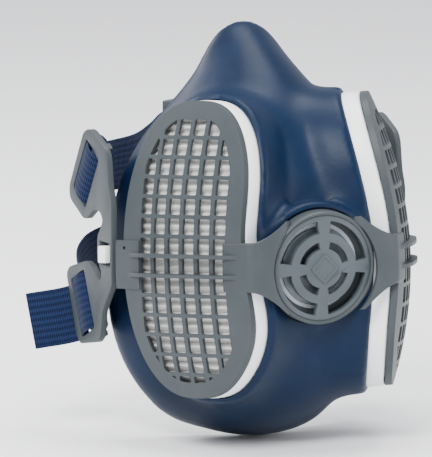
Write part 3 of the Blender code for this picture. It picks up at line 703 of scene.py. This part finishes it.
def shell_surface():
    """The outer skin of the facepiece with its lip turned in, both halves, subdivided."""
    bm = bmesh.new()
    grid = [[bm.verts.new(Vector(point) * MM) for point in row] for row in FACE_CAGE]
    for upper, lower in zip(grid, grid[1:]):
        for k in range(len(upper) - 1):
            bm.faces.new((upper[k], lower[k], lower[k + 1], upper[k + 1]))
    rim = grid[0][:] + [row[-1] for row in grid[1:]] + grid[-1][-2::-1]
    for inward, forward in ((0.0045, -0.0022), (0.0060, 0.0030)):
        inner = []
        for vertex in rim:
            radial = Vector((vertex.co.x, 0, vertex.co.z)).normalized()
            inner.append(bm.verts.new(vertex.co - radial * inward - Vector((0, forward, 0))))
        for k in range(len(rim) - 1):
            bm.faces.new((rim[k], rim[k + 1], inner[k + 1], inner[k]))
        rim = inner
    for vertex in bm.verts:
        if abs(vertex.co.x) < 1e-6:
            vertex.co.x = 0
    shell = to_object("facepiece_shell", bm)
    mirror = shell.modifiers.new("mirror", "MIRROR")
    mirror.use_clip = True
    mirror.merge_threshold = 0.0001
    smooth = shell.modifiers.new("smooth", "SUBSURF")
    smooth.levels = 3
    smooth.render_levels = 3
    return apply_modifiers(shell)


def duplicate(obj, name):
    made = bpy.data.objects.new(name, obj.data.copy())
    bpy.context.scene.collection.objects.link(made)
    return made


def socket_plug(grow, low, high, side):
    """A bowed block on a filter's outline, for the socket and for its pocket."""
    sections = []
    for w in np.linspace(low, high, 4):
        sections.append([(u, v, w) for u, v in filter_outline(grow, 96)])
    bm = loft(sections)
    sliced(bm, (0, 1, 0), [k * 0.008 for k in range(-7, 8)])
    sliced(bm, (1, 0, 0), [k * 0.007 for k in range(-4, 5)])
    plug = place(to_object("plug", bm), FILTER, bowed=True)
    return plug if side > 0 else mirrored(plug)


def tree_of(obj):
    return BVHTree.FromPolygons([v.co for v in obj.data.vertices], [p.vertices for p in obj.data.polygons])


def ease(low, high, value):
    t = max(0.0, min(1.0, (value - low) / (high - low)))
    return t * t * (3 - 2 * t)


def fillet_weights(co, skin, plug):
    """How far each vertex may move while the crease between the sockets and the shell is smoothed."""
    to_filter, to_valve = FILTER.inverted(), VALVE.inverted()
    weights = []
    for x, y, z in co:
        point = Vector((abs(x), y, z))
        nearest, normal = skin.find_nearest(point)[:2]
        if (point - nearest).dot(normal) < -FILLET_SKIN:
            weights.append(0.0)
            continue
        u, v, w = to_filter @ point
        w += v**2 / (2 * BOW_RADIUS) + u**2 / (2 * CROWN_RADIUS)
        reach = plug.find_nearest(point)[3]
        amount = ease(-0.0086, -0.0118, w) * max(0.0, 1 - reach / FILLET_REACH) ** 3
        lateral = (to_valve @ point).xy.length
        amount *= ease(0.0205, 0.0240, lateral) if (to_valve @ point).z > -0.012 else 1.0
        weights.append(amount)
    return weights


def smoothed(obj, factor, iterations, group=""):
    modifier = obj.modifiers.new("smoothed", "SMOOTH")
    modifier.factor = factor
    modifier.iterations = iterations
    modifier.vertex_group = group


def moulded_shell():
    """The skin, the sockets and the valve boss as one solid, the creases between them smoothed."""
    skin = shell_surface()
    skin_tree = tree_of(skin)
    solid = duplicate(skin, "facepiece_solid")
    wall = solid.modifiers.new("wall", "SOLIDIFY")
    wall.thickness = WALL
    wall.offset = -1
    apply_modifiers(solid)
    plugs = [socket_plug(0.0024, -0.0205, -0.0082, side) for side in (1, -1)]
    plug_tree = tree_of(plugs[0])
    boss = place(to_object("boss", prism(circle(0.0214), -0.0110, -0.0046)), VALVE)
    bpy.ops.object.select_all(action="DESELECT")
    for obj in [solid, boss] + plugs:
        obj.select_set(True)
    bpy.context.view_layer.objects.active = solid
    bpy.ops.object.join()
    remesh = solid.modifiers.new("remesh", "REMESH")
    remesh.mode = "VOXEL"
    remesh.voxel_size = SHELL_VOXEL
    apply_modifiers(solid)
    group = solid.vertex_groups.new(name="fillet")
    for index, amount in enumerate(fillet_weights(coordinates(solid.data), skin_tree, plug_tree)):
        if amount > 0:
            group.add([index], amount, "REPLACE")
    smoothed(solid, 0.6, 110, "fillet")
    smoothed(solid, 0.5, 14)
    apply_modifiers(solid)
    solid.vertex_groups.clear()
    bpy.data.objects.remove(skin, do_unlink=True)
    return solid


def facepiece():
    """The soft shell with its filter pockets, its ports and the recess for the front ring."""
    solid = moulded_shell()
    for side in (1, -1):
        boolean(solid, socket_plug(0.0004, -0.0160, 0.004, side))
        port = place(to_object("port", prism(circle(0.0120, 48), -0.035, -0.0085)), FILTER)
        boolean(solid, port if side > 0 else mirrored(port))
    boolean(solid, place(to_object("front_port", prism(circle(0.0140, 64), -0.03, 0.0)), VALVE))
    boolean(solid, place(to_object("recess", prism(circle(RING_OUTER + 0.0006), -0.0061, 0.006)), VALVE))
    solid.name = "elastomer_facepiece"
    ride(solid, "mask", NAVY, ["facepiece"], 50)


# Valve and ring ---------------------------------------------------------------------------------------


def arc_slot(inner, outer, start, end, steps=16):
    """A curved slot with square ends."""
    points = [(outer * math.cos(t), outer * math.sin(t)) for t in np.linspace(start, end, steps)]
    points += [(inner * math.cos(t), inner * math.sin(t)) for t in np.linspace(end, start, steps)]
    return points


def turned_ring(name, profile, count=96):
    """A closed ring turned round the valve's axis from radius and level pairs."""
    sections = [[(x, y, z) for x, y in circle(radius, count)] for radius, z in profile]
    return to_object(name, loft(sections, loop=True))


def diamond(reach):
    return [(reach, 0), (0, reach), (-reach, 0), (0, -reach)]


def valve_cover():
    """A slightly domed disc with two rings of slots between four spokes, and a plain raised diamond."""
    cover = to_object("cover", prism(circle(COVER_RADIUS), -0.0020, 0.0))
    slots = bmesh.new()
    for inner, outer, spoke in ((0.0066, 0.0090, 0.0030), (0.0118, 0.0158, 0.0036)):
        gap = math.asin(spoke / 2 / inner)
        for quarter in range(4):
            start = math.pi / 2 * quarter
            prism(arc_slot(inner, outer, start + gap, start + math.pi / 2 - gap), -0.01, 0.01, slots)
    boolean(cover, to_object("slots", slots))
    boolean(cover, to_object("badge", prism(diamond(0.0050), -0.001, 0.0006)), "UNION")
    boolean(cover, to_object("badge_field", prism(diamond(0.0039), 0.00025, 0.002)))
    clean(cover)
    bevel(cover, 0.00028, 2, 40)
    co = coordinates(cover.data)
    co[:, 2] += 0.0014 * (1 - (co[:, 0] ** 2 + co[:, 1] ** 2) / COVER_RADIUS**2)
    set_coordinates(cover.data, co)
    place(cover, VALVE)
    cover.name = "slotted_cover"
    ride(cover, "mask", COVER_GRAY, ["valve_cover"], 35)


def front_ring():
    """The ring round the cover, with a seat under the cover's rim and a flange in the dish behind it."""
    ring = turned_ring("ring", [
        (0.0143, -0.0050), (0.0185, -0.0050), (RING_OUTER, -0.0045), (RING_OUTER, -0.0004),
        (0.0187, 0.0001), (0.0183, 0.0004), (0.0179, 0.0003), (RING_INNER, -0.0001),
        (RING_INNER, -0.0012), (0.0162, -0.0012), (0.0162, -0.0044), (0.0143, -0.0044),
    ])
    place(ring, VALVE)
    ring.name = "front_ring"
    ride(ring, "mask", GRAY, ["harness_ring"], 40)


# Harness ----------------------------------------------------------------------------------------------

WING_OUTLINE = (
    (0, 18.2), (2.2, 23.5), (3.6, 33.2), (5.6, 36.2), (15, 40.6), (18.5, 41.2), (22.6, 39.6), (29, 29),
    (34.2, 20), (33.6, 16.2), (23, 10.8), (20, 10.8), (13.4, 15), (9.4, 14.6), (7, 12), (9, 9),
    (11.6, 6), (11.4, -1.4), (8.4, -5.4), (8.6, -8), (10.8, -8.4), (15.6, -4.6), (20.4, -3.2), (34.4, -7),
    (36.6, -9.6), (28.4, -29.4), (25.4, -31.8), (11.6, -29.4), (8.8, -27), (7.6, -18.6), (0, -9),
)
UPPER_SLOT = Vector((20.6, 26.0)) * MM
UPPER_SLOT_TILT = math.radians(32)
LOWER_SLOT = Vector((23.4, -18.0)) * MM
LOWER_SLOT_TILT = math.radians(-25)


def rounded_outline(points, radius, steps=5):
    """A polygon with its corners rounded."""
    found = []
    count = len(points)
    for k in range(count):
        before, corner, after = Vector(points[k - 1]), Vector(points[k]), Vector(points[(k + 1) % count])
        back, ahead = before - corner, after - corner
        reach = min(radius, back.length * 0.45, ahead.length * 0.45)
        start, end = corner + back.normalized() * reach, corner + ahead.normalized() * reach
        for step in range(steps + 1):
            t = step / steps
            found.append(tuple(start * (1 - t) ** 2 + corner * 2 * t * (1 - t) + end * t**2))
    return found


def slot_point(centre, tilt, across, along):
    c, s = math.cos(tilt), math.sin(tilt)
    return centre + Vector((c * across - s * along, s * across + c * along))


def slot_outline(centre, tilt, half_across, half_along, radius):
    signs = ((-1, -1), (1, -1), (1, 1), (-1, 1))
    corners = [slot_point(centre, tilt, a * half_across, b * half_along) for a, b in signs]
    return rounded_outline(corners, radius) if radius else [tuple(c) for c in corners]


def slot_bar(centre, tilt):
    """The round cross bar behind a slot, which the strap turns over."""
    bm = bmesh.new()
    half = SLOT_LENGTH / 2 + 0.0006
    ends = [slot_point(centre, tilt, BAR_OFFSET, side * half) for side in (-1, 1)]
    direction = Vector((*(ends[1] - ends[0]), 0)).normalized()
    turn = direction.to_track_quat("Z", "Y").to_matrix().to_4x4()
    middle = Vector((*((ends[0] + ends[1]) / 2), -BAR_DEPTH))
    bmesh.ops.create_cone(bm, cap_ends=True, segments=24, radius1=BAR_RADIUS, radius2=BAR_RADIUS,
                          depth=2 * half + 0.002, matrix=Matrix.Translation(middle) @ turn)
    return bm


def wings():
    outline = rounded_outline([(p * MM, z * MM) for p, z in WING_OUTLINE], 0.0020)
    wing = to_object("wing", prism(outline, -0.0010, 0.0010))
    slots = ((UPPER_SLOT, UPPER_SLOT_TILT), (LOWER_SLOT, LOWER_SLOT_TILT))
    for centre, tilt in slots:
        opening = slot_outline(centre, tilt, SLOT_WIDTH / 2, SLOT_LENGTH / 2, 0.0012)
        boolean(wing, to_object("slot", prism(opening, -0.01, 0.01)))
    boolean(wing, to_object("window", box((0.0012, -0.0029, -0.01), (0.0094, 0.0049, 0.01))))
    clean(wing)
    bevel(wing, 0.0005, 3, 40)
    for centre, tilt in slots:
        for end in (-1, 1):
            foot = slot_point(centre, tilt, BAR_OFFSET, end * (SLOT_LENGTH / 2 + 0.0010))
            post = prism(slot_outline(foot, tilt, 0.0014, 0.0008, 0), -BAR_DEPTH - BAR_RADIUS, 0.0)
            boolean(wing, to_object("post", post), "UNION")
        boolean(wing, to_object("bar", slot_bar(centre, tilt)), "UNION")
    place(wing, WING)
    both_sides(wing, "wing_plate", "{}_cover", GRAY, "strap_wing", 40)


def smooth_route(points, steps):
    route = [points[0]] + list(points) + [points[-1]]
    found = []
    for a, b, c, d in zip(route, route[1:], route[2:], route[3:]):
        for k in range(steps):
            t = k / steps
            bend = (2 * a - 5 * b + 4 * c - d) * t**2 + (3 * b - a - 3 * c + d) * t**3
            found.append(0.5 * (2 * b + (c - a) * t + bend))
    return found + [points[-1]]


def webbing(name, stations, steps=10, columns=36):
    """A woven strap along a route, with rounded edges, nine lengthwise ribs and a cloth coordinate."""
    points = smooth_route([station[0] for station in stations], steps)
    widths = smooth_route([station[1] for station in stations], steps)
    verts, cloth, faces = [], [], []
    travelled = 0.0
    ring = 2 * (columns + 1)
    for k, point in enumerate(points):
        ahead = points[min(k + 1, len(points) - 1)] - points[max(k - 1, 0)]
        along = ahead.normalized()
        across = (widths[k] - along * widths[k].dot(along)).normalized()
        face = along.cross(across).normalized()
        if k:
            travelled += (point - points[k - 1]).length
        breadth = STRAP_WIDTH - STRAP_NARROWING * ease(0.40, 0.70, k / (len(points) - 1))
        for side in (1, -1):
            order = range(columns + 1) if side > 0 else range(columns, -1, -1)
            for column in order:
                t = column / columns
                edge = min(1.0, 6 * min(t, 1 - t))
                rib = 0.00003 * math.cos(2 * math.pi * RIBS * t)
                swell = math.sqrt(max(0.0, 1 - (1 - edge) ** 2))
                half = (STRAP_THICKNESS / 2 - EDGE_HALF) * swell + rib * edge
                verts.append(point + across * breadth * (t - 0.5) + face * side * max(half, EDGE_HALF))
                cloth.append((t, travelled, 0.0))
    for k in range(len(points) - 1):
        for i in range(ring):
            j = (i + 1) % ring
            faces.append((k * ring + i, k * ring + j, (k + 1) * ring + j, (k + 1) * ring + i))
    for row in (0, len(points) - 1):
        for column in range(columns):
            a, b = row * ring + column, row * ring + column + 1
            c, d = row * ring + ring - 2 - column, row * ring + ring - 1 - column
            faces.append((b, a, d, c) if row == 0 else (a, b, c, d))
    mesh = bpy.data.meshes.new(name)
    mesh.from_pydata([tuple(v) for v in verts], [], faces)
    attribute = mesh.attributes.new("cloth", "FLOAT_VECTOR", "POINT")
    attribute.data.foreach_set("vector", np.array(cloth, np.float32).ravel())
    obj = bpy.data.objects.new(name, mesh)
    bpy.context.scene.collection.objects.link(obj)
    bm = bmesh.new()
    bm.from_mesh(mesh)
    bmesh.ops.recalc_face_normals(bm, faces=bm.faces)
    bm.to_mesh(mesh)
    bm.free()
    return obj


def strap_turn(centre, tilt, tail):
    """Stations of a left strap, from its tip over the cross bar, where it fills the slot, and back."""
    level = -BAR_DEPTH + BAR_RADIUS + STRAP_THICKNESS / 2 + 0.0005
    stations = [(across * MM, along * MM, n * MM + level) for across, along, n in tail]
    stations += [(across * MM, 0.0, n * MM) for across, n in SLOT_LOOP]
    found = []
    for across, along, n in stations:
        flat = slot_point(centre, tilt, across, along)
        found.append(WING @ Vector((flat.x, flat.y, n)))
    upward = slot_point(Vector((0, 0)), tilt, 0, 1)
    width = WING.to_3x3() @ Vector((upward.x, upward.y, 0))
    return [(point, width) for point in found]


def on_side(stations, side):
    flip = Matrix.Diagonal((side, 1, 1))
    return [(flip @ point, flip @ width) for point, width in stations]


def millimetres(rows):
    return [(Vector(row[:3]) * MM, Vector(row[3:])) for row in rows]


# Stations in millimetres, each a point and the direction of the strap's width. Behind the wings the left head
# strap and both neck straps run as in the CAD model, and the right head strap runs lower. The tails stand
# further out than in the CAD model.
RIGHT_HEAD_ROUTE = (
    (-46, 26, 25, 0.1, -0.3, 1), (-39, 35, 23.5, 0.05, -0.1, 1), (-28, 43, 23, 0, 0, 1),
    (-16, 51, 23.5, 0, 0, 1), (-5, 63, 25, 0, 0, 1), (5, 76, 26.5, 0, 0, 1), (14, 84, 27, 0, 0, 1),
)
LEFT_HEAD_ROUTE = (
    (49, 29, 29.5, -0.1, -0.3, 1), (54, 43, 29, 0, -0.1, 1), (54, 59, 28.5, 0, 0, 1), (48, 75, 28, 0, 0, 1),
    (36, 86, 27.5, 0, 0, 1), (24, 88.6, 27, 0, 0, 1), (15.2, 84.8, 27, 0, 0, 1),
)
RIGHT_NECK_ROUTE = (
    (-47, 26, -13, -0.1, 0.2, 1), (-41, 35, -8, 0, 0.1, 1), (-30, 43, -5.5, 0, 0, 1),
    (-18, 52, -5.5, 0, 0, 1), (-7, 63.5, -6, 0, 0, 1), (-1.5, 70, -6, 0, 0, 1),
    (2.6, 72.7, -6, 0, 0, 1), (9.1, 76.6, -6, 0, 0, 1),
)
LEFT_NECK_ROUTE = (
    (49, 28, -13, 0.1, 0.2, 1), (53, 41, -9, 0, 0.1, 1), (53, 56, -7, 0, 0, 1), (48.5, 71, -6, 0, 0, 1),
    (41, 83.5, -6, 0, 0, 1), (33, 88.6, -6, 0, 0, 1), (26.6, 86.9, -6, 0, 0, 1), (20.1, 83.0, -6, 0, 0, 1),
)
NECK_TAIL = ((18, 0.1, 14.5), (16.5, 0.1, 10.5), (14.6, 0, 6), (12.8, 0, 2.9), (10.9, 0, 0.9), (9, 0, 0))
HEAD_TAIL = ((9.5, 0, 0), (8, 0, 0))
SLOT_LOOP = (
    (6.2, -1.9), (5.0, 0.4), (3, 1.3), (0, 1.7), (-2.6, 1.2), (-4.4, -0.2), (-4.9, -2.4), (-3.8, -4.4),
    (-1.2, -5.8), (2, -6.4), (6, -6.4),
)
RIGHT_BEND = ((-0.030, 0, 0), (-0.0462, 0, 0))
LEFT_BEND = ((0.050, 0.066, 0), (0.054, 0.037, 0))


def straps():
    head = strap_turn(UPPER_SLOT, UPPER_SLOT_TILT, HEAD_TAIL)
    neck = strap_turn(LOWER_SLOT, LOWER_SLOT_TILT, NECK_TAIL)
    plans = (
        ("right_head", head, -1, RIGHT_HEAD_ROUTE, RIGHT_BEND),
        ("left_head", head, 1, LEFT_HEAD_ROUTE, LEFT_BEND),
        ("right_neck", neck, -1, RIGHT_NECK_ROUTE, RIGHT_BEND),
        ("left_neck", neck, 1, LEFT_NECK_ROUTE, LEFT_BEND),
    )
    for name, turn, side, route, (start, end) in plans:
        strap = webbing(f"{name}_webbing", on_side(turn, side) + millimetres(route))
        shade(strap, STRAP, 60)
        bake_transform(strap)
        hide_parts(f"{name}_strap")


# Small moulded pieces: rounded copies of the CAD solids -----------------------------------------------


def rounded(node, name, body, surface, width):
    """A CAD solid with its edges rounded."""
    obj = bpy.data.objects.new(name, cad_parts[node].data.copy())
    bpy.context.scene.collection.objects.link(obj)
    clean(obj)
    bevel(obj, width, angle=30)
    ride(obj, body, surface, [node], 40)


def small_pieces():
    rounded("head_strap_slider", "slider_moulding", "mask", GRAY, 0.0004)
    rounded("exhalation_seat", "exhalation_seat_moulding", "mask", SEAT, 0.00015)
    flap = "exhalation_flap"
    rounded(flap, f"{flap}_disc", flap, FLAP, 0.00015)
    for side in ("left", "right"):
        seat, flap = f"{side}_inhalation_seat", f"{side}_inhalation_flap"
        rounded(f"{side}_neck_clip", f"{side}_clip_moulding", "mask", GRAY, 0.0004)
        rounded(f"{side}_filter_latch", f"{side}_latch_hook", f"{side}_latch", WHITE, 0.0004)
        rounded(seat, f"{seat}_moulding", "mask", SEAT, 0.00015)
        rounded(flap, f"{flap}_disc", flap, FLAP, 0.00015)
        shade_node(f"{side}_filter_gasket", GASKET)


def shade_node(node, surface):
    """A carried-over CAD solid takes a procedural material."""
    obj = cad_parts[node]
    for index in range(len(obj.material_slots)):
        obj.material_slots[index].material = surface


facepiece()
valve_cover()
front_ring()
wings()
straps()
small_pieces()


# Stage ------------------------------------------------------------------------------------------------


def stage_look():
    look = Look("pale_floor", 0.85)
    spots = look.noise(3, 2, 0.5)
    return look.finish(look.ramp(spots, [(0.3, (0.86, 0.87, 0.88)), (0.7, (0.90, 0.90, 0.91))]))


def area_light(name, at, target, size, power):
    data = bpy.data.lights.new(name, "AREA")
    data.shape = "DISK"
    data.size = size
    data.energy = power
    lamp = bpy.data.objects.new(name, data)
    bpy.context.scene.collection.objects.link(lamp)
    lamp.location = at
    lamp.rotation_euler = (Vector(target) - Vector(at)).to_track_quat("-Z", "Y").to_euler()


def stage():
    floor_z = CAD_BOX[0][2] - 0.0005
    bm = bmesh.new()
    bmesh.ops.create_grid(bm, x_segments=2, y_segments=2, size=6)
    floor = to_object("floor", bm)
    floor.location = (0, 0, floor_z)
    shade(floor, stage_look())
    middle = (0, -0.02, 0.01)
    area_light("key", (-0.75, -0.85, 0.85), middle, 0.55, 29)
    area_light("fill", (0.95, -0.75, 0.35), middle, 0.7, 6)
    area_light("rim", (-0.5, 0.8, 0.6), middle, 0.5, 10)
    area_light("top", (0.1, 0.0, 1.2), middle, 0.9, 22)
    world = bpy.data.worlds.new("studio")
    world.use_nodes = True
    world.node_tree.nodes["Background"].inputs["Color"].default_value = (0.93, 0.95, 1.0, 1)
    world.node_tree.nodes["Background"].inputs["Strength"].default_value = 0.95
    bpy.context.scene.world = world


def camera():
    azimuth, elevation, distance = math.radians(-25), math.radians(8), 3.0
    right = Vector((math.cos(azimuth), math.sin(azimuth), 0))
    level = math.cos(elevation)
    back = Vector((math.sin(azimuth) * level, -math.cos(azimuth) * level, math.sin(elevation)))
    up = back.cross(right)
    target = VALVE_CENTRE - right * 0.0350 + up * 0.0130
    data = bpy.data.cameras.new("camera")
    data.lens = 36 * distance / 0.1498
    data.clip_end = 20
    view = bpy.data.objects.new("camera", data)
    bpy.context.scene.collection.objects.link(view)
    turn = Matrix((right, up, back)).transposed().to_4x4()
    view.matrix_world = Matrix.Translation(target + back * distance) @ turn
    bpy.context.scene.camera = view


stage()
camera()
